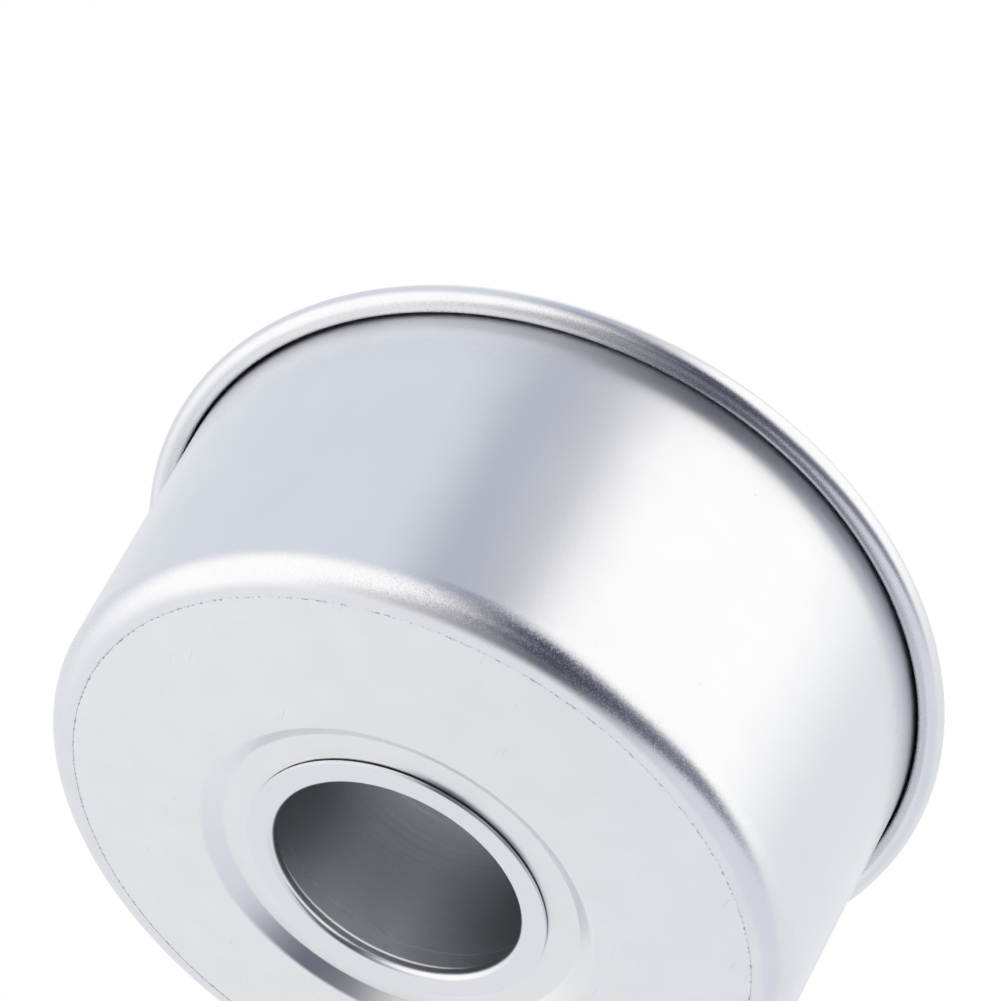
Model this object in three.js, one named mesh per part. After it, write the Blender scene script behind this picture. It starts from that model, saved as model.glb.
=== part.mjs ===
// Loose-bottom tube pan in satin anodised aluminium sheet: a drawn outer shell with a rolled rim
// and a turned-in ledge, a base plate that lies on the ledge, and a tapered centre tube clinched
// into the plate. Millimetres, +Z up, origin on the axis in the plane that the pan stands on.
import * as THREE from 'three';

// Outer shell: sizes are of the outside of the metal.
const SHELL_SHEET = 0.8;
const BASE_FLAT_RADIUS = 73.2;
const LEDGE_FLAT = 1.6;
const CORNER_RADIUS = 5.8;
const WALL_TAPER_DEG = 10.4;
const SHELL_HEIGHT = 72.9;
const ROLL_RADIUS = 2.7;
const ROLL_GAP = 0.4;

// Base plate: a half-sheared step drops its panel into the ledge's opening, all but level with
// the shell's underside, and a shallow raised hub carries the tube.
const PLATE_SHEET = 1.2;
const PLATE_STEP = 0.8;
const HUB_RADIUS = 38;
const HUB_RISE = 2.2;
const HUB_SLOPE_DEG = 35;
const HUB_BEND_RADIUS = 1.5;

// Centre tube: the foot radius is the outside of the cone where it meets the plate.
const TUBE_SHEET = 0.8;
const TUBE_HEIGHT = 90;
const TUBE_FOOT_RADIUS = 30;
const TUBE_TAPER_DEG = 6;
const SHOULDER_WIDTH = 2.6;
const FLANGE_WIDTH = 5;
const TUBE_BEND_RADIUS = 0.9;
const LIP_RADIUS = 2;
const LIP_TURN_DEG = 255;

// Clearances: the plate over its ledge, its step inside the ledge's edge, and the tube against
// the plate on all sides.
const SEAT_GAP = 0.3;
const STEP_GAP = 0.3;
const CLINCH_GAP = 0.3;

// Facets: the largest step between a bend and its chord, and the sides of a full turn.
const CHORD_STEP = 0.08;
const SHELL_SIDES = 72;
const TUBE_SIDES = 48;

const radians = THREE.MathUtils.degToRad;

/**
 * The middle line of a bent sheet in the (radius, height) plane, laid out as a press tool makes it:
 * straight runs and bends, one after the other, from a starting point and heading.
 */
class SheetLine {
  constructor(radius, height, headingDeg) {
    this.point = new THREE.Vector2(radius, height);
    this.heading = radians(headingDeg);
    this.stations = [];
    this.mark();
  }

  leftOf(heading) {
    return new THREE.Vector2(-Math.sin(heading), Math.cos(heading));
  }

  mark() {
    this.stations.push({ point: this.point.clone(), left: this.leftOf(this.heading) });
  }

  run(length) {
    const forward = new THREE.Vector2(Math.cos(this.heading), Math.sin(this.heading));
    this.point.addScaledVector(forward, length);
    this.mark();
    return this;
  }

  runToRadius(radius) {
    return this.run((radius - this.point.x) / Math.cos(this.heading));
  }

  runToHeight(height) {
    return this.run((height - this.point.y) / Math.sin(this.heading));
  }

  // A half-shear: the sheet shifts to its left by part of its thickness and keeps its heading.
  step(shift) {
    this.point.addScaledVector(this.leftOf(this.heading), shift);
    this.mark();
    return this;
  }

  // A positive turn is to the left of the heading. The centre stays put while the point swings round it.
  bend(radius, turnDeg) {
    const turn = radians(turnDeg);
    const side = Math.sign(turn);
    const centre = this.point.clone().addScaledVector(this.leftOf(this.heading), side * radius);
    const largestStep = 2 * Math.acos(1 - CHORD_STEP / (radius + CHORD_STEP));
    const steps = Math.max(2, Math.ceil(Math.abs(turn) / largestStep));
    for (let step = 0; step < steps; step += 1) {
      this.heading += turn / steps;
      this.point.copy(centre).addScaledVector(this.leftOf(this.heading), -side * radius);
      this.mark();
    }
    return this;
  }

  // The closed outline of the sheet: out along its left face, back along its right face.
  // A rounded end follows a half circle from one face to the other.
  outline(sheet, roundedEnd = false) {
    const half = sheet / 2;
    const face = (side) => this.stations.map(({ point, left }) => point.clone().addScaledVector(left, side * half));
    const end = this.stations.at(-1);
    const endAngles = roundedEnd ? [45, 0, -45].map((angle) => this.heading + radians(angle)) : [];
    const endArc = endAngles.map((angle) => {
      return new THREE.Vector2(Math.cos(angle), Math.sin(angle)).multiplyScalar(half).add(end.point);
    });
    const loop = [...face(1), ...endArc, ...face(-1).reverse()];
    return THREE.ShapeUtils.isClockWise(loop) ? loop.reverse() : loop;
  }
}

// A sheet outline spun about the Z axis.
function spun(name, outline, sides, material) {
  const geometry = new THREE.LatheGeometry([...outline, outline[0]], sides);
  geometry.rotateX(Math.PI / 2);
  const mesh = new THREE.Mesh(geometry, material);
  mesh.name = name;
  return mesh;
}

// Shell: ledge, rounded corner and straight tapered wall, then the rim rolled outwards in two bends.
// The first bend carries the sheet over the top; the second, tighter one tucks its edge back in
// beside the wall, so the roll stays open along a narrow slot.
const shellHalf = SHELL_SHEET / 2;
const rollBend = ROLL_RADIUS - shellHalf;
const crestBend = rollBend + (SHELL_SHEET + ROLL_GAP) / 2;
const crestLift = crestBend * (1 - Math.sin(radians(WALL_TAPER_DEG))) + shellHalf;
const ledgeEdge = BASE_FLAT_RADIUS - LEDGE_FLAT;
const shellLine = new SheetLine(ledgeEdge, shellHalf, 0)
  .runToRadius(BASE_FLAT_RADIUS)
  .bend(CORNER_RADIUS - shellHalf, 90 - WALL_TAPER_DEG)
  .runToHeight(SHELL_HEIGHT - crestLift)
  .bend(crestBend, WALL_TAPER_DEG - 180)
  .bend(rollBend, -180 - WALL_TAPER_DEG);

// Levels of the plate's panel inside the ledge, and of the raised hub that the tube is clinched to.
const panelMiddle = SHELL_SHEET + SEAT_GAP - PLATE_STEP + PLATE_SHEET / 2;
const hubMiddle = panelMiddle + HUB_RISE;
const hubTop = hubMiddle + PLATE_SHEET / 2;
const hubUnderside = hubMiddle - PLATE_SHEET / 2;

// Tube radii at its middle line: the cone's foot, and the neck that goes through the plate's hole.
const tubeHalf = TUBE_SHEET / 2;
const footMiddle = TUBE_FOOT_RADIUS - tubeHalf;
const neckMiddle = footMiddle - SHOULDER_WIDTH;
const holeRadius = neckMiddle + tubeHalf + CLINCH_GAP;

// Plate: a blanked disc with its hub, its panel and the step up to its margin on the ledge.
// The margin's rounded edge nests in the shell's corner.
const plateLine = new SheetLine(holeRadius, hubMiddle, 0)
  .runToRadius(HUB_RADIUS)
  .bend(HUB_BEND_RADIUS, -HUB_SLOPE_DEG);
const hubBendDrop = HUB_BEND_RADIUS * (1 - Math.cos(radians(HUB_SLOPE_DEG)));
plateLine
  .runToHeight(panelMiddle + hubBendDrop)
  .bend(HUB_BEND_RADIUS, HUB_SLOPE_DEG)
  .runToRadius(ledgeEdge - STEP_GAP)
  .step(PLATE_STEP)
  .runToRadius(BASE_FLAT_RADIUS);

// Tube: a flange under the hub, a neck through the hole, a shoulder on top of the hub,
// the cone, and a small lip rolled outwards at its open top.
const flangeMiddle = hubUnderside - CLINCH_GAP - tubeHalf;
const shoulderMiddle = hubTop + CLINCH_GAP + tubeHalf;
const lipBend = LIP_RADIUS - tubeHalf;
const lipLift = lipBend * (1 + Math.sin(radians(TUBE_TAPER_DEG))) + tubeHalf;
const tubeLine = new SheetLine(neckMiddle + FLANGE_WIDTH, flangeMiddle, 180)
  .runToRadius(neckMiddle + TUBE_BEND_RADIUS)
  .bend(TUBE_BEND_RADIUS, -90)
  .runToHeight(shoulderMiddle - TUBE_BEND_RADIUS)
  .bend(TUBE_BEND_RADIUS, -90)
  .runToRadius(footMiddle - TUBE_BEND_RADIUS)
  .bend(TUBE_BEND_RADIUS, 90 + TUBE_TAPER_DEG)
  .runToHeight(TUBE_HEIGHT - lipLift)
  .bend(lipBend, -LIP_TURN_DEG);

function anodised(colour, roughness) {
  return new THREE.MeshStandardMaterial({ color: colour, roughness, metalness: 1 });
}

const tubePan = new THREE.Group();
tubePan.add(spun('pan_shell', shellLine.outline(SHELL_SHEET), SHELL_SIDES, anodised(0xd3d5da, 0.32)));

// The plate and the tube lift out of the shell together.
const baseInsert = new THREE.Group();
baseInsert.add(spun('base_plate', plateLine.outline(PLATE_SHEET, true), SHELL_SIDES, anodised(0xdcdee1, 0.36)));
baseInsert.add(spun('centre_tube', tubeLine.outline(TUBE_SHEET), TUBE_SIDES, anodised(0xd3d5da, 0.32)));
tubePan.add(baseInsert);

export default tubePan;
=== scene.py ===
import bpy
import numpy as np
from mathutils import Matrix


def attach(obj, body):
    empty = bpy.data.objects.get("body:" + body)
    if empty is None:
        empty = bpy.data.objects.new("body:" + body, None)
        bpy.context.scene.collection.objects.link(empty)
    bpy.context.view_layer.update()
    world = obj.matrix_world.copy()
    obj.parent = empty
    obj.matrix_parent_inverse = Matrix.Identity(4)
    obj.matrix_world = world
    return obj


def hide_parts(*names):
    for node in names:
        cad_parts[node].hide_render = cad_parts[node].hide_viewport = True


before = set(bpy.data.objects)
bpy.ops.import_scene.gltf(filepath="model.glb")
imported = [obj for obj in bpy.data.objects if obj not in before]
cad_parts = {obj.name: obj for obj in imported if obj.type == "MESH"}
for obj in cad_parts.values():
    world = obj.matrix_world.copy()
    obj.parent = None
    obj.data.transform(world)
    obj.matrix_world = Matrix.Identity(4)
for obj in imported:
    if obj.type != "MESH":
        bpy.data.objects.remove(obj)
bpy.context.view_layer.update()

# Outer shell: one deep-drawn cup of 0.8 mm aluminium sheet, blasted fine and clear anodised.
# Its foot turns in as a narrow ledge, its wall leans out, and its rim is rolled outwards
# in two bends, so that the sheet's edge ends beside the wall along a narrow open slot.
MM = 0.001
SHELL_SHEET = 0.8
LEDGE_EDGE_RADIUS = 71.6
LEDGE_END_RADIUS = 73.2
CORNER_BEND = 5.4
WALL_TAPER = 10.4
SHELL_HEIGHT = 72.9
CREST_BEND = 2.86
ROLL_BEND = 2.3
CUT_EDGE_ROUND = 0.05
SHELL_SIDES = 256

# How finely an outline is drawn: millimetres along a run, degrees round a bend, and points on
# each quarter circle of a cut edge.
RUN_SPACING = 3.0
BEND_STEP = 4.5
CUT_EDGE_POINTS = 5


def sheet_line(start, heading, moves):
    """A line in (radius, height), in millimetres, laid out as straight runs and bends.

    A run goes along the heading until it reaches a radius or a height. A bend keeps its centre
    to one side and turns the heading in small steps, with positive turns to the left.
    Returns the points and the unit normals on the left of the line, as arrays.
    """
    point = np.array(start, float)
    heading = np.radians(heading)
    points, headings = [point[None]], [np.array([heading])]
    for move, *sizes in moves:
        if move == "bend":
            radius, turn = sizes[0], np.radians(sizes[1])
            count = max(3, int(np.ceil(abs(sizes[1]) / BEND_STEP)))
            turned = heading + turn * np.arange(1, count + 1) / count
            side = np.sign(turn) * radius
            centre = point + side * np.array([-np.sin(heading), np.cos(heading)])
            stations = centre - side * np.stack([-np.sin(turned), np.cos(turned)], axis=1)
        else:
            forward = np.array([np.cos(heading), np.sin(heading)])
            axis = 0 if move == "to_radius" else 1
            length = (sizes[0] - point[axis]) / forward[axis]
            count = max(2, int(np.ceil(length / RUN_SPACING)))
            stations = point + forward * (length * np.arange(1, count + 1) / count)[:, None]
            turned = np.full(count, heading)
        points.append(stations)
        headings.append(turned)
        point, heading = stations[-1], turned[-1]
    headings = np.concatenate(headings)
    return np.concatenate(points), np.stack([-np.sin(headings), np.cos(headings)], axis=1)


def sheet_outline(points, left, sheet, edge_round):
    """Closed outline of a sheet, with outward normals: half its thickness to each side of a line.

    The faces stop short of both cut ends by the radius of the edge, and two quarter circles
    carry the outline round each end.
    """
    half = sheet / 2
    ahead = np.stack([left[:, 1], -left[:, 0]], axis=1)
    swing = np.radians(np.linspace(90, 0, CUT_EDGE_POINTS))[:, None]

    def cut_end(point, onward, side):
        near = np.cos(swing) * onward + np.sin(swing) * side
        far = (np.cos(swing) * onward - np.sin(swing) * side)[::-1]
        middle = point - onward * edge_round
        offset = side * (half - edge_round)
        arcs = [middle + offset + near * edge_round, middle - offset + far * edge_round]
        return np.concatenate(arcs), np.concatenate([near, far])

    far_arcs, far_normals = cut_end(points[-1], ahead[-1], left[-1])
    near_arcs, near_normals = cut_end(points[0], -ahead[0], -left[0])
    body, side = points[1:-1], left[1:-1]
    loop = np.concatenate([body + side * half, far_arcs, (body - side * half)[::-1], near_arcs])
    normals = np.concatenate([side, far_normals, -side[::-1], near_normals])
    following = np.roll(loop, -1, axis=0)
    area = np.sum(loop[:, 0] * following[:, 1] - following[:, 0] * loop[:, 1])
    return (loop, normals) if area > 0 else (loop[::-1], normals[::-1])


def spun_piece(name, loop, normals, sides):
    """Solid of revolution: outline points (r, z) go to (r cos a, r sin a, z), at equal angles a.

    The outline runs anticlockwise. Faces join neighbouring points and neighbouring angles, closed
    both ways, and each vertex keeps the outline's own normal, turned by the same angle.
    """
    angle = 2 * np.pi * np.arange(sides) / sides

    def turned(pairs):
        along, up = pairs[:, 0:1], pairs[:, 1:2]
        corners = [along * np.cos(angle), along * np.sin(angle), up + 0 * angle]
        return np.stack(corners, axis=-1).reshape(-1, 3)

    index = np.arange(len(loop) * sides).reshape(len(loop), sides)
    ahead, beside = np.roll(index, -1, axis=0), np.roll(index, -1, axis=1)
    faces = np.stack([index, beside, np.roll(ahead, -1, axis=1), ahead], axis=-1).reshape(-1, 4)
    mesh = bpy.data.meshes.new(name)
    mesh.from_pydata(turned(loop * MM).tolist(), [], faces.tolist())
    mesh.polygons.foreach_set("use_smooth", np.ones(len(faces), dtype=bool))
    mesh.normals_split_custom_set_from_vertices(turned(normals).tolist())
    mesh.update()
    piece = bpy.data.objects.new(name, mesh)
    bpy.context.scene.collection.objects.link(piece)
    return piece


def linear(hex_colour, strength=1.0):
    """sRGB hex to linear RGBA, with the standard curve, times a strength."""
    srgb = np.array([int(hex_colour[i:i + 2], 16) for i in (1, 3, 5)]) / 255
    rgb = np.where(srgb <= 0.04045, srgb / 12.92, ((srgb + 0.055) / 1.055) ** 2.4) * strength
    return (*rgb.tolist(), 1.0)


def new_material(name):
    """A material with an empty node tree."""
    material = bpy.data.materials.new(name)
    material.use_nodes = True
    material.node_tree.nodes.clear()
    return material


def add_node(tree, kind, values=None, links=None, **settings):
    """Adds a node, sets its properties and socket values, and links sockets to their sources."""
    node = tree.nodes.new(kind)
    for setting, value in settings.items():
        setattr(node, setting, value)
    for socket, value in (values or {}).items():
        node.inputs[socket].default_value = value
    for socket, source in (links or {}).items():
        tree.links.new(source, node.inputs[socket])
    return node


crest_lift = CREST_BEND * (1 - np.sin(np.radians(WALL_TAPER))) + SHELL_SHEET / 2
shell_line = sheet_line((LEDGE_EDGE_RADIUS, SHELL_SHEET / 2), 0, [
    ("to_radius", LEDGE_END_RADIUS),
    ("bend", CORNER_BEND, 90 - WALL_TAPER),
    ("to_height", SHELL_HEIGHT - crest_lift),
    ("bend", CREST_BEND, WALL_TAPER - 180),
    ("bend", ROLL_BEND, -180 - WALL_TAPER),
])
shell_outline = sheet_outline(*shell_line, SHELL_SHEET, CUT_EDGE_ROUND)
shell = spun_piece("shell_drawn_cup", *shell_outline, SHELL_SIDES)

# Clear anodised aluminium, blasted before anodising: a soft satin mirror made of tiny tilted
# facets. Where the sheet was strained in drawing, at the corner and the rim, some facets are left
# rougher, catch more light and sparkle in dark reflections. Real facets are about 0.1 mm across,
# too fine to show, so they are drawn coarser. The wall grows a little duller towards its mouth,
# so the rim shows in it as a soft shade. Drawing leaves slow waves in the wall, handling leaves
# a few short scuffs, and dark specks lie in a narrow ring along the ledge's inner edge.
SATIN_COLOUR, SATIN_CLOUD = "#ecedef", "#e6e7ea"
SATIN_ROUGHNESS = 0.19, 0.23
CLOUD_SIZE = 14 * MM
WAVE_LENGTH, WAVE_DEPTH = 30 * MM, 0.08 * MM
FACET_SIZE = 0.2 * MM
STRAINED_TILT, PLAIN_TILT = 0.05, 0.02
SPECK_ROUGHNESS = 0.14
BEND_LOW, BEND_FULL = 0.15 * MM, 0.7 * MM
BEND_FADE, BEND_HIGH = 3.4 * MM, 5.0 * MM
RIM_START, RIM_END = 90.9 * MM, 91.5 * MM
RIM_STRAIN = 0.6
MOUTH_START, MOUTH_FULL = 87.0 * MM, 90.2 * MM
MOUTH_ROUGHNESS = 0.09
SHELL_MARK_COLOUR, SCUFF_STRENGTH = "#a9abb0", 0.5
SCUFF_LENGTH, SCUFF_WIDTH = 5 * MM, 0.5 * MM
SCUFF_TURN = 0.3, 0.9, 0.5
# Dark specks in a narrow ring at the ledge's inner edge, along the seam with the plate.
SEAM_SPECK_RADIUS, SEAM_SPECK_WIDTH = 71.7 * MM, 0.15 * MM
SEAM_SPECK_SIZE, SEAM_SPECK_STRENGTH = 0.9 * MM, 0.5

# Levels of a random pattern between which an effect sets in, from none to full. Most of a cloud's
# levels lie in the first span, and marks need the rare high ones.
CLOUD_SPAN = 0.3, 0.7
SPECK_SPAN = 0.6, 1.0
SCUFF_SPAN = 0.76, 0.82
SEAM_SPECK_SPAN = 0.54, 0.7
COLOUR_MIDDLE = 0.5, 0.5, 0.5

satin = new_material("anodised_aluminium_drawn_and_blasted")
tree = satin.node_tree
place = add_node(tree, "ShaderNodeTexCoord").outputs["Object"]
flat_place = add_node(tree, "ShaderNodeVectorMath", {1: (1, 1, 0)}, {0: place},
                      operation="MULTIPLY")
radius = add_node(tree, "ShaderNodeVectorMath", links={0: flat_place.outputs[0]},
                  operation="LENGTH")
split = add_node(tree, "ShaderNodeSeparateXYZ", links={0: place})
waves = add_node(tree, "ShaderNodeTexNoise", {"Scale": 1 / WAVE_LENGTH, "Detail": 0.0},
                 {"Vector": place})
clouds = add_node(tree, "ShaderNodeTexNoise", {"Scale": 1 / CLOUD_SIZE, "Detail": 3.0},
                  {"Vector": place})

# Slow waves, then the facets' tilt, which is stronger where the sheet was strained.
wave_height = add_node(tree, "ShaderNodeMath", {1: WAVE_DEPTH}, {0: waves.outputs[0]},
                       operation="MULTIPLY")
waved = add_node(tree, "ShaderNodeBump", {"Strength": 1.0, "Distance": 1.0},
                 {"Height": wave_height.outputs[0]})
facets = add_node(tree, "ShaderNodeTexVoronoi", {"Scale": 1 / FACET_SIZE}, {"Vector": place})
lean = add_node(tree, "ShaderNodeVectorMath", {1: COLOUR_MIDDLE}, {0: facets.outputs["Color"]},
                operation="SUBTRACT")
bend_foot = add_node(tree, "ShaderNodeMapRange", {"From Min": BEND_LOW, "From Max": BEND_FULL},
                     {"Value": split.outputs["Z"]})
bend_top = add_node(tree, "ShaderNodeMapRange",
                    {"From Min": BEND_FADE, "From Max": BEND_HIGH, "To Min": 1.0, "To Max": 0.0},
                    {"Value": split.outputs["Z"]})
corner = add_node(tree, "ShaderNodeMath", links={0: bend_foot.outputs[0], 1: bend_top.outputs[0]},
                  operation="MULTIPLY")
rim = add_node(tree, "ShaderNodeMapRange",
               {"From Min": RIM_START, "From Max": RIM_END, "To Max": RIM_STRAIN},
               {"Value": radius.outputs["Value"]})
strain = add_node(tree, "ShaderNodeMath", links={0: corner.outputs[0], 1: rim.outputs[0]},
                  operation="MAXIMUM")
tilt = add_node(tree, "ShaderNodeMapRange", {"To Min": PLAIN_TILT, "To Max": STRAINED_TILT},
                {"Value": strain.outputs[0]})
tilted = add_node(tree, "ShaderNodeVectorMath",
                  links={0: lean.outputs[0], "Scale": tilt.outputs[0]}, operation="SCALE")
leaned = add_node(tree, "ShaderNodeVectorMath",
                  links={0: waved.outputs[0], 1: tilted.outputs[0]}, operation="ADD")
relief = add_node(tree, "ShaderNodeVectorMath", links={0: leaned.outputs[0]},
                  operation="NORMALIZE")

# Scuffs on all of the shell, and dark specks in a narrow ring along the ledge's inner edge, at the
# seam with the plate.
scuff_scale = (1 / SCUFF_WIDTH, 1 / SCUFF_WIDTH, 1 / SCUFF_LENGTH)
scuff_turn = add_node(tree, "ShaderNodeMapping", {"Rotation": SCUFF_TURN, "Scale": scuff_scale},
                      {"Vector": place})
scuff_noise = add_node(tree, "ShaderNodeTexNoise", {"Scale": 1.0, "Detail": 2.0},
                       {"Vector": scuff_turn.outputs[0]})
scuffs = add_node(tree, "ShaderNodeMapRange",
                  {"From Min": SCUFF_SPAN[0], "From Max": SCUFF_SPAN[1], "To Max": SCUFF_STRENGTH},
                  {"Value": scuff_noise.outputs[0]})
seam_speck_noise = add_node(tree, "ShaderNodeTexNoise", {"Scale": 1 / SEAM_SPECK_SIZE, "Detail": 2.0},
                     {"Vector": place})
seam_specks = add_node(tree, "ShaderNodeMapRange",
                      {"From Min": SEAM_SPECK_SPAN[0], "From Max": SEAM_SPECK_SPAN[1], "To Max": SEAM_SPECK_STRENGTH},
                      {"Value": seam_speck_noise.outputs[0]})
seam_band = add_node(tree, "ShaderNodeMath", {1: SEAM_SPECK_RADIUS, 2: SEAM_SPECK_WIDTH},
                    {0: radius.outputs["Value"]}, operation="COMPARE")
seam_speckled = add_node(tree, "ShaderNodeMath", links={0: seam_specks.outputs[0], 1: seam_band.outputs[0]},
                  operation="MULTIPLY")
marks = add_node(tree, "ShaderNodeMath", links={0: scuffs.outputs[0], 1: seam_speckled.outputs[0]},
                 operation="MAXIMUM")

# Roughness: the cloudy satin, the rougher facets where the sheet was strained, and the mouth.
chance = add_node(tree, "ShaderNodeSeparateXYZ", links={0: facets.outputs["Color"]})
speck = add_node(tree, "ShaderNodeMapRange",
                 {"From Min": SPECK_SPAN[0], "From Max": SPECK_SPAN[1], "To Max": SPECK_ROUGHNESS},
                 {"Value": chance.outputs["X"]})
cloud_gloss = add_node(tree, "ShaderNodeMapRange",
                       {"From Min": CLOUD_SPAN[0], "From Max": CLOUD_SPAN[1],
                        "To Min": SATIN_ROUGHNESS[0], "To Max": SATIN_ROUGHNESS[1]},
                       {"Value": clouds.outputs[0]})
gloss = add_node(tree, "ShaderNodeMath",
                 links={0: speck.outputs[0], 1: strain.outputs[0], 2: cloud_gloss.outputs[0]},
                 operation="MULTIPLY_ADD")
mouth = add_node(tree, "ShaderNodeMapRange",
                 {"From Min": MOUTH_START, "From Max": MOUTH_FULL, "To Max": MOUTH_ROUGHNESS},
                 {"Value": radius.outputs["Value"]}, interpolation_type="SMOOTHSTEP")
mouth_end = add_node(tree, "ShaderNodeMapRange",
                     {"From Min": RIM_START, "From Max": RIM_END, "To Min": 1.0, "To Max": 0.0},
                     {"Value": radius.outputs["Value"]})
softened = add_node(tree, "ShaderNodeMath",
                    links={0: mouth.outputs[0], 1: mouth_end.outputs[0], 2: gloss.outputs[0]},
                    operation="MULTIPLY_ADD")
tone = add_node(tree, "ShaderNodeMix", {"A": linear(SATIN_COLOUR), "B": linear(SATIN_CLOUD)},
                {"Factor": clouds.outputs[0]}, data_type="RGBA")
marked = add_node(tree, "ShaderNodeMix", {"B": linear(SHELL_MARK_COLOUR)},
                  {"Factor": marks.outputs[0], "A": tone.outputs["Result"]}, data_type="RGBA")
shader = add_node(tree, "ShaderNodeBsdfPrincipled", {"Metallic": 1.0},
                  {"Base Color": marked.outputs["Result"], "Roughness": softened.outputs[0],
                   "Normal": relief.outputs[0]})
add_node(tree, "ShaderNodeOutputMaterial", links={"Surface": shader.outputs[0]})

shell.data.materials.append(satin)
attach(shell, "shell")
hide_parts("pan_shell")

# Base plate: a disc blanked from 1.2 mm aluminium sheet and anodised. A half-sheared step drops
# its panel into the ledge's opening, its margin lies loose on the ledge, and a shallow hub
# is raised in its middle for the tube.
PLATE_SHEET = 1.2
PANEL_BOTTOM = 0.06
PANEL_EDGE_RADIUS = 71.57
MARGIN_BOTTOM = 1.1
MARGIN_EDGE_RADIUS = 73.2
HOLE_RADIUS = 27.7
HUB_RADIUS = 38.0
HUB_RISE = 2.44
HUB_BEND = 1.5
HUB_SLOPE = 35.0
SHEAR_ROUND = 0.04
PLATE_SIDES = 256

# The outline goes along the underside, round the margin and back along the top. Each bend of the
# hub is tighter on its inner face and wider on its outer one, so the sheet keeps its thickness.
slope = np.radians(HUB_SLOPE)
inner_bend, outer_bend = HUB_BEND - PLATE_SHEET / 2, HUB_BEND + PLATE_SHEET / 2
inner_drop, outer_drop = (bend * (1 - np.cos(slope)) for bend in (inner_bend, outer_bend))
hub_run = 2 * HUB_BEND * np.sin(slope) + (HUB_RISE - inner_drop - outer_drop) / np.tan(slope)
panel_top = PANEL_BOTTOM + PLATE_SHEET
hub_bottom = PANEL_BOTTOM + HUB_RISE
hub_top = hub_bottom + PLATE_SHEET
plate_points, plate_left = sheet_line((HOLE_RADIUS + SHEAR_ROUND, hub_bottom), 0, [
    ("to_radius", HUB_RADIUS),
    ("bend", inner_bend, -HUB_SLOPE),
    ("to_height", PANEL_BOTTOM + outer_drop),
    ("bend", outer_bend, HUB_SLOPE),
    ("to_radius", PANEL_EDGE_RADIUS - SHEAR_ROUND),
    ("bend", SHEAR_ROUND, 90),
    ("to_height", MARGIN_BOTTOM - SHEAR_ROUND),
    ("bend", SHEAR_ROUND, -90),
    ("to_radius", MARGIN_EDGE_RADIUS),
    ("bend", PLATE_SHEET / 2, 180),
    ("to_radius", PANEL_EDGE_RADIUS + SHEAR_ROUND),
    ("bend", SHEAR_ROUND, 90),
    ("to_height", panel_top + SHEAR_ROUND),
    ("bend", SHEAR_ROUND, -90),
    ("to_radius", HUB_RADIUS + hub_run),
    ("bend", inner_bend, -HUB_SLOPE),
    ("to_height", hub_top - outer_drop),
    ("bend", outer_bend, HUB_SLOPE),
    ("to_radius", HOLE_RADIUS + SHEAR_ROUND),
    ("bend", SHEAR_ROUND, 90),
    ("to_height", hub_bottom + SHEAR_ROUND),
    ("bend", SHEAR_ROUND, 90),
])
plate = spun_piece("plate_loose_base", plate_points[:-1], -plate_left[:-1], PLATE_SIDES)

# Clear anodised aluminium sheet, blasted like the shell but left flat: an even pale satin with
# faint clouds, short hairline scratches from being stacked, and dark specks in a narrow ring
# along its panel's edge, on the underside only.
PLATE_COLOUR, PLATE_CLOUD = "#f1f2f3", "#eaecec"
PLATE_ROUGHNESS = 0.28, 0.32
BLOTCH_SIZE = 9 * MM
PLATE_MARK_COLOUR, SCRATCH_STRENGTH = "#a9abaf", 0.3
SCRATCH_LENGTH, SCRATCH_WIDTH = 9 * MM, 0.35 * MM
SCRATCH_TURN = 0, 0, 0.7
SCRATCH_SPAN = 0.74, 0.80
# Dark specks in a narrow ring just inside the panel's edge, on the underside, along the seam with
# the ledge.
PLATE_SEAM_SPECK_RADIUS = (PANEL_EDGE_RADIUS - 0.1) * MM
PLATE_SEAM_SPECK_SPAN = 0.5, 0.62

sheet_satin = new_material("anodised_aluminium_sheet_blasted")
tree = sheet_satin.node_tree
place = add_node(tree, "ShaderNodeTexCoord").outputs["Object"]
flat_place = add_node(tree, "ShaderNodeVectorMath", {1: (1, 1, 0)}, {0: place},
                      operation="MULTIPLY")
radius = add_node(tree, "ShaderNodeVectorMath", links={0: flat_place.outputs[0]},
                  operation="LENGTH")
clouds = add_node(tree, "ShaderNodeTexNoise", {"Scale": 1 / BLOTCH_SIZE, "Detail": 3.0},
                  {"Vector": place})
facets = add_node(tree, "ShaderNodeTexVoronoi", {"Scale": 1 / FACET_SIZE}, {"Vector": place})
lean = add_node(tree, "ShaderNodeVectorMath", {1: COLOUR_MIDDLE}, {0: facets.outputs["Color"]},
                operation="SUBTRACT")
tilted = add_node(tree, "ShaderNodeVectorMath", {"Scale": PLAIN_TILT}, {0: lean.outputs[0]},
                  operation="SCALE")
flat = add_node(tree, "ShaderNodeNewGeometry").outputs["Normal"]
leaned = add_node(tree, "ShaderNodeVectorMath", links={0: flat, 1: tilted.outputs[0]},
                  operation="ADD")
relief = add_node(tree, "ShaderNodeVectorMath", links={0: leaned.outputs[0]},
                  operation="NORMALIZE")
scratch_scale = (1 / SCRATCH_WIDTH, 1 / SCRATCH_LENGTH, 1 / MM)
scratch_turn = add_node(tree, "ShaderNodeMapping",
                        {"Rotation": SCRATCH_TURN, "Scale": scratch_scale},
                        {"Vector": flat_place.outputs[0]})
scratch_noise = add_node(tree, "ShaderNodeTexNoise", {"Scale": 1.0, "Detail": 1.0},
                         {"Vector": scratch_turn.outputs[0]})
scratches = add_node(tree, "ShaderNodeMapRange",
                     {"From Min": SCRATCH_SPAN[0], "From Max": SCRATCH_SPAN[1],
                      "To Max": SCRATCH_STRENGTH},
                     {"Value": scratch_noise.outputs[0]})
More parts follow.
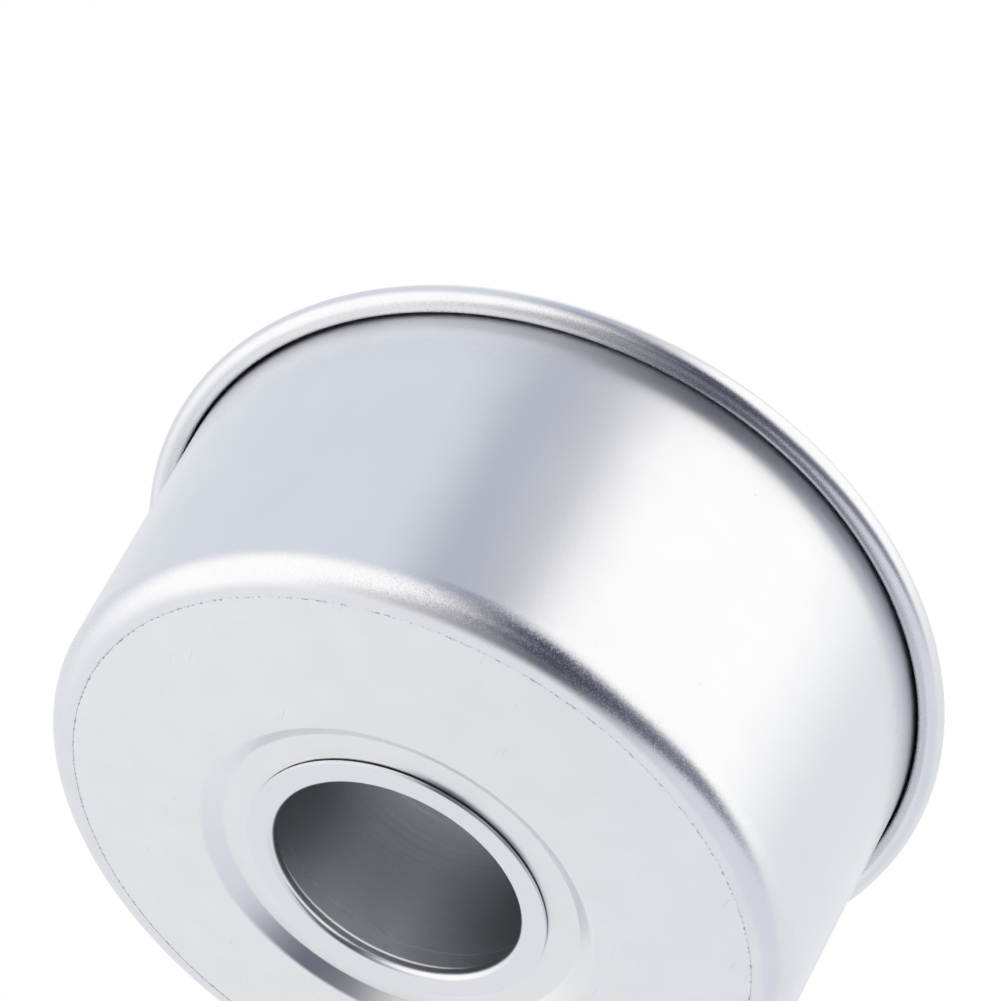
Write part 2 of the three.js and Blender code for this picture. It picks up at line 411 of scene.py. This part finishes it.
# Dark specks along the panel's edge, on the underside only.
seam_speck_noise = add_node(tree, "ShaderNodeTexNoise", {"Scale": 1 / SEAM_SPECK_SIZE, "Detail": 2.0},
                     {"Vector": place})
seam_specks = add_node(tree, "ShaderNodeMapRange",
                      {"From Min": PLATE_SEAM_SPECK_SPAN[0], "From Max": PLATE_SEAM_SPECK_SPAN[1]},
                      {"Value": seam_speck_noise.outputs[0]})
seam_band = add_node(tree, "ShaderNodeMath", {1: PLATE_SEAM_SPECK_RADIUS, 2: SEAM_SPECK_WIDTH},
                    {0: radius.outputs["Value"]}, operation="COMPARE")
split = add_node(tree, "ShaderNodeSeparateXYZ", links={0: place})
underside = add_node(tree, "ShaderNodeMath", {1: PANEL_BOTTOM * MM + SEAM_SPECK_WIDTH},
                     {0: split.outputs["Z"]}, operation="LESS_THAN")
seam_speck_line = add_node(tree, "ShaderNodeMath",
                    links={0: seam_band.outputs[0], 1: underside.outputs[0]}, operation="MULTIPLY")
seam_speckled = add_node(tree, "ShaderNodeMath", links={0: seam_specks.outputs[0], 1: seam_speck_line.outputs[0]},
                  operation="MULTIPLY")
marks = add_node(tree, "ShaderNodeMath", links={0: scratches.outputs[0], 1: seam_speckled.outputs[0]},
                 operation="MAXIMUM")
gloss = add_node(tree, "ShaderNodeMapRange",
                 {"From Min": CLOUD_SPAN[0], "From Max": CLOUD_SPAN[1],
                  "To Min": PLATE_ROUGHNESS[0], "To Max": PLATE_ROUGHNESS[1]},
                 {"Value": clouds.outputs[0]})
tone = add_node(tree, "ShaderNodeMix", {"A": linear(PLATE_COLOUR), "B": linear(PLATE_CLOUD)},
                {"Factor": clouds.outputs[0]}, data_type="RGBA")
marked = add_node(tree, "ShaderNodeMix", {"B": linear(PLATE_MARK_COLOUR)},
                  {"Factor": marks.outputs[0], "A": tone.outputs["Result"]}, data_type="RGBA")
shader = add_node(tree, "ShaderNodeBsdfPrincipled", {"Metallic": 1.0},
                  {"Base Color": marked.outputs["Result"], "Roughness": gloss.outputs[0],
                   "Normal": relief.outputs[0]})
add_node(tree, "ShaderNodeOutputMaterial", links={"Surface": shader.outputs[0]})

plate.data.materials.append(sheet_satin)
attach(plate, "base_insert")
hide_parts("base_plate")

# Centre tube: a cone of 0.8 mm aluminium, spun, with a small lip rolled out at its open top.
# A shoulder above the hub and a flange below it clinch the tube to the base plate.
TUBE_SHEET = 0.8
TUBE_HEIGHT = 90.0
TUBE_TAPER = 6.0
NECK_MIDDLE = 27.0
FLANGE_EDGE_RADIUS = 32.0
FLANGE_MIDDLE = 1.8
SHOULDER_MIDDLE = 4.4
FOOT_MIDDLE = 29.6
TUBE_BEND = 0.9
LIP_BEND = 1.6
LIP_TURN = 255.0
TUBE_SIDES = 192

lip_lift = LIP_BEND * (1 + np.sin(np.radians(TUBE_TAPER))) + TUBE_SHEET / 2
tube_line = sheet_line((FLANGE_EDGE_RADIUS, FLANGE_MIDDLE), 180, [
    ("to_radius", NECK_MIDDLE + TUBE_BEND),
    ("bend", TUBE_BEND, -90),
    ("to_height", SHOULDER_MIDDLE - TUBE_BEND),
    ("bend", TUBE_BEND, -90),
    ("to_radius", FOOT_MIDDLE - TUBE_BEND),
    ("bend", TUBE_BEND, 90 + TUBE_TAPER),
    ("to_height", TUBE_HEIGHT - lip_lift),
    ("bend", LIP_BEND, -LIP_TURN),
])
tube_outline = sheet_outline(*tube_line, TUBE_SHEET, CUT_EDGE_ROUND)
tube = spun_piece("tube_clinched_cone", *tube_outline, TUBE_SIDES)

# Clear anodised aluminium, spun on a former and then blasted: the satin of the shell over faint
# rings that the spinning roller leaves round the cone, about a millimetre apart. The rings are a
# noise squeezed almost flat across the axis, so they waver a little on their way round.
TUBE_ROUGHNESS = 0.22, 0.28
RING_PITCH = 1.1 * MM
RING_DEPTH = 0.002 * MM
RING_WAVER = 0.003

spun_satin = new_material("anodised_aluminium_spun_and_blasted")
tree = spun_satin.node_tree
place = add_node(tree, "ShaderNodeTexCoord").outputs["Object"]
clouds = add_node(tree, "ShaderNodeTexNoise", {"Scale": 1 / CLOUD_SIZE, "Detail": 3.0},
                  {"Vector": place})
up_only = add_node(tree, "ShaderNodeVectorMath", {1: (RING_WAVER, RING_WAVER, 1)}, {0: place},
                   operation="MULTIPLY")
rings = add_node(tree, "ShaderNodeTexNoise", {"Scale": 1 / RING_PITCH, "Detail": 2.0},
                 {"Vector": up_only.outputs[0]})
ring_height = add_node(tree, "ShaderNodeMath", {1: RING_DEPTH}, {0: rings.outputs[0]},
                       operation="MULTIPLY")
ringed = add_node(tree, "ShaderNodeBump", {"Strength": 1.0, "Distance": 1.0},
                  {"Height": ring_height.outputs[0]})
facets = add_node(tree, "ShaderNodeTexVoronoi", {"Scale": 1 / FACET_SIZE}, {"Vector": place})
lean = add_node(tree, "ShaderNodeVectorMath", {1: COLOUR_MIDDLE}, {0: facets.outputs["Color"]},
                operation="SUBTRACT")
tilted = add_node(tree, "ShaderNodeVectorMath", {"Scale": PLAIN_TILT}, {0: lean.outputs[0]},
                  operation="SCALE")
leaned = add_node(tree, "ShaderNodeVectorMath",
                  links={0: ringed.outputs[0], 1: tilted.outputs[0]}, operation="ADD")
relief = add_node(tree, "ShaderNodeVectorMath", links={0: leaned.outputs[0]},
                  operation="NORMALIZE")
gloss = add_node(tree, "ShaderNodeMapRange",
                 {"From Min": CLOUD_SPAN[0], "From Max": CLOUD_SPAN[1],
                  "To Min": TUBE_ROUGHNESS[0], "To Max": TUBE_ROUGHNESS[1]},
                 {"Value": rings.outputs[0]})
tone = add_node(tree, "ShaderNodeMix", {"A": linear(SATIN_COLOUR), "B": linear(SATIN_CLOUD)},
                {"Factor": clouds.outputs[0]}, data_type="RGBA")
shader = add_node(tree, "ShaderNodeBsdfPrincipled", {"Metallic": 1.0},
                  {"Base Color": tone.outputs["Result"], "Roughness": gloss.outputs[0],
                   "Normal": relief.outputs[0]})
add_node(tree, "ShaderNodeOutputMaterial", links={"Surface": shader.outputs[0]})

tube.data.materials.append(spun_satin)
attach(tube, "base_insert")
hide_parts("centre_tube")

# Camera: a short portrait lens a hand's length from the pan, under it and rolled to one side.
# Place in metres, lens and sensor in millimetres, turns in degrees.
CAMERA_PLACE = (0.0, -0.24055, -0.16189)
CAMERA_LENS, CAMERA_SENSOR = 51.19, 36.0
CAMERA_NEAREST = 0.005
CAMERA_YAW, CAMERA_PITCH, CAMERA_ROLL = 5.58, 49.30, 33.04

camera_data = bpy.data.cameras.new("photo_camera")
camera_data.lens = CAMERA_LENS
camera_data.sensor_width = CAMERA_SENSOR
camera_data.clip_start = CAMERA_NEAREST
camera = bpy.data.objects.new("photo_camera", camera_data)
camera.matrix_world = (
    Matrix.Translation(CAMERA_PLACE)
    @ Matrix.Rotation(np.radians(CAMERA_YAW), 4, "Z")
    @ Matrix.Rotation(np.radians(90 + CAMERA_PITCH), 4, "X")
    @ Matrix.Rotation(np.radians(CAMERA_ROLL), 4, "Z")
)
bpy.context.scene.collection.objects.link(camera)
bpy.context.scene.camera = camera

# Floor: a pale round sheet that the pan stands on. It is clear from below and to the pan's own
# reflections, and it fades to the white of the background at its edge.
FLOOR_RADIUS = 1.2
FLOOR_SIDES = 96
FLOOR_DROP = 0.0004
FLOOR_COLOUR = "#f4f4f4"
FADE_START, FADE_END = 0.22, 0.6

ring = np.linspace(0, 2 * np.pi, FLOOR_SIDES, endpoint=False)
floor_corners = np.stack(
    [FLOOR_RADIUS * np.cos(ring), FLOOR_RADIUS * np.sin(ring), 0 * ring - FLOOR_DROP], axis=1)
floor_mesh = bpy.data.meshes.new("floor")
floor_mesh.from_pydata(floor_corners.tolist(), [], [list(range(FLOOR_SIDES))])
floor = bpy.data.objects.new("floor", floor_mesh)
bpy.context.scene.collection.objects.link(floor)

paper = new_material("matt_white_paper")
tree = paper.node_tree
place = add_node(tree, "ShaderNodeTexCoord").outputs["Object"]
reach = add_node(tree, "ShaderNodeVectorMath", links={0: place}, operation="LENGTH")
fade = add_node(tree, "ShaderNodeMapRange", {"From Min": FADE_START, "From Max": FADE_END},
                {"Value": reach.outputs["Value"]}, interpolation_type="SMOOTHSTEP")
matt = add_node(tree, "ShaderNodeBsdfDiffuse", {"Color": linear(FLOOR_COLOUR)})
white = add_node(tree, "ShaderNodeEmission", {"Strength": 1.0})
faded = add_node(tree, "ShaderNodeMixShader",
                 links={0: fade.outputs[0], 1: matt.outputs[0], 2: white.outputs[0]})
clear = add_node(tree, "ShaderNodeBsdfTransparent")
path = add_node(tree, "ShaderNodeLightPath")
side = add_node(tree, "ShaderNodeNewGeometry")
front = add_node(tree, "ShaderNodeMath", {0: 1.0}, {1: side.outputs["Backfacing"]},
                 operation="SUBTRACT")
shown = add_node(tree, "ShaderNodeMath",
                 links={0: front.outputs[0], 1: path.outputs["Is Camera Ray"]},
                 operation="MULTIPLY")
sheet = add_node(tree, "ShaderNodeMixShader",
                 links={0: shown.outputs[0], 1: clear.outputs[0], 2: faded.outputs[0]})
add_node(tree, "ShaderNodeOutputMaterial", links={"Surface": sheet.outputs[0]})
floor_mesh.materials.append(paper)

# Studio light: a pale room with softboxes, and a dark side round the camera. The camera sees the
# room as plain white. Each panel is a soft-edged round patch of sky, laid over the ones before it:
# azimuth, elevation, radius of its even middle and width of its soft edge, in degrees.
ROOM_COLOUR, ROOM_STRENGTH = "#f4f8ff", 0.87
PANELS = [
    ("overhead softbox", 0, 90, 15, 25, "#ffffff", 1.1),
    ("grey curtain", -42, 5, 47, 47, "#2e3262", 1.0),
    ("curtain fold", -112, 29, 2, 13, "#bfc4d2", 1.0),
    ("right softbox", -32, 18, 45, 32, "#fffefc", 1.2),
    ("right wall", 63, 4, 59, 35, "#f0f1f4", 1.0),
    ("left softbox", -167, -48, 31, 36, "#fffdfc", 1.2),
    ("table front", -29, -43, 7, 29, "#7e8091", 1.0),
    ("dark table", 31, -81, 4, 37, "#595a69", 1.0),
    ("low reflector", 33, -46, 19, 15, "#e6e8f0", 1.0),
    ("dark stand", -78, -65, 8, 25, "#44475a", 1.0),
    ("camera", -89, -35, 0, 32, "#1e2242", 1.0),
]

world = bpy.data.worlds.new("studio")
bpy.context.scene.world = world
world.use_nodes = True
tree = world.node_tree
tree.nodes.clear()
direction = add_node(tree, "ShaderNodeTexCoord").outputs["Generated"]
colour = None
for panel_name, azimuth, elevation, middle, edge, hex_colour, strength in PANELS:
    a, e = np.radians(azimuth), np.radians(elevation)
    towards = (float(np.cos(e) * np.cos(a)), float(np.cos(e) * np.sin(a)), float(np.sin(e)))
    facing = add_node(tree, "ShaderNodeVectorMath", {1: towards}, {0: direction},
                      operation="DOT_PRODUCT")
    apart = add_node(tree, "ShaderNodeMath", links={0: facing.outputs["Value"]},
                     operation="ARCCOSINE")
    patch = add_node(tree, "ShaderNodeMapRange",
                     {"From Min": np.radians(middle), "From Max": np.radians(middle + edge),
                      "To Min": 1.0, "To Max": 0.0},
                     {"Value": apart.outputs[0]}, interpolation_type="SMOOTHSTEP",
                     label=panel_name)
    laid = add_node(tree, "ShaderNodeMix", {"B": linear(hex_colour, strength)},
                    {"Factor": patch.outputs[0]}, data_type="RGBA")
    if colour is None:
        laid.inputs["A"].default_value = linear(ROOM_COLOUR, ROOM_STRENGTH)
    else:
        tree.links.new(colour, laid.inputs["A"])
    colour = laid.outputs["Result"]
studio = add_node(tree, "ShaderNodeBackground", links={"Color": colour})
backdrop = add_node(tree, "ShaderNodeBackground", {"Color": (1, 1, 1, 1)})
path = add_node(tree, "ShaderNodeLightPath")
seen = add_node(tree, "ShaderNodeMixShader", links={
    0: path.outputs["Is Camera Ray"], 1: studio.outputs[0], 2: backdrop.outputs[0]})
add_node(tree, "ShaderNodeOutputWorld", links={"Surface": seen.outputs[0]})

bpy.context.scene.view_settings.view_transform = "Standard"
